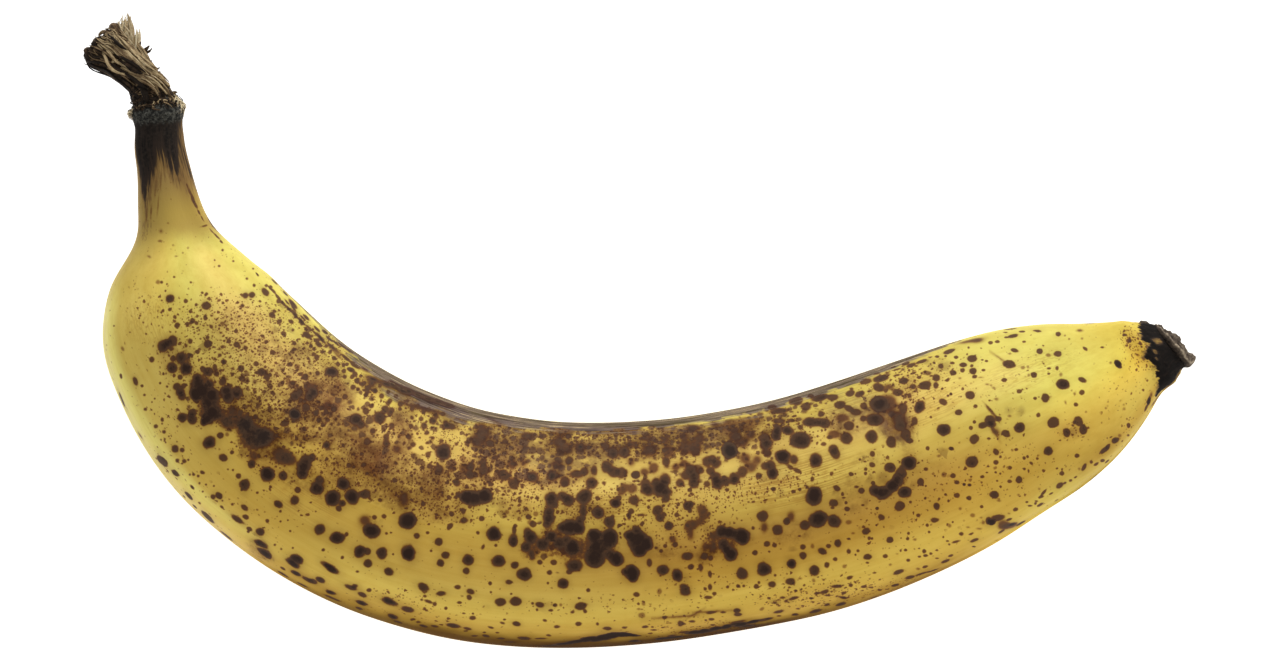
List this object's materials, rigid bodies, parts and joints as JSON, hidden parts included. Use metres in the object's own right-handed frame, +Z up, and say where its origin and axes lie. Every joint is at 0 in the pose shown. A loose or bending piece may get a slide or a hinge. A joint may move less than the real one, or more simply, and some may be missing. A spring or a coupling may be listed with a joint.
{
  "type": "plantain",
  "caption": "Whole ripe plantain lying on its side: a long curved, softly ridged fruit with a freckled yellow peel, a torn dry stem and a dark blossom tip.",
  "frame": {"origin": "under the middle of the fruit's box, on the surface it rests on", "axes": "+X from the stem side towards the blossom tip, +Y towards the inner side of the bend, where the stem points, +Z up from the surface it lies on"},
  "size_m": [0.2166, 0.1234, 0.0433],
  "materials": {
    "peel": "ripe yellow peel with dark brown spots and hazes, smooth and faintly waxy, black at the stem collar and round the blossom tip",
    "stem_fibre": "dry matt brown fibres at the torn end of the stem, tan where frayed and nearly black in the folds"
  },
  "bodies": {
    "root": {"plantain": "peel"}
  },
  "joints": []
}
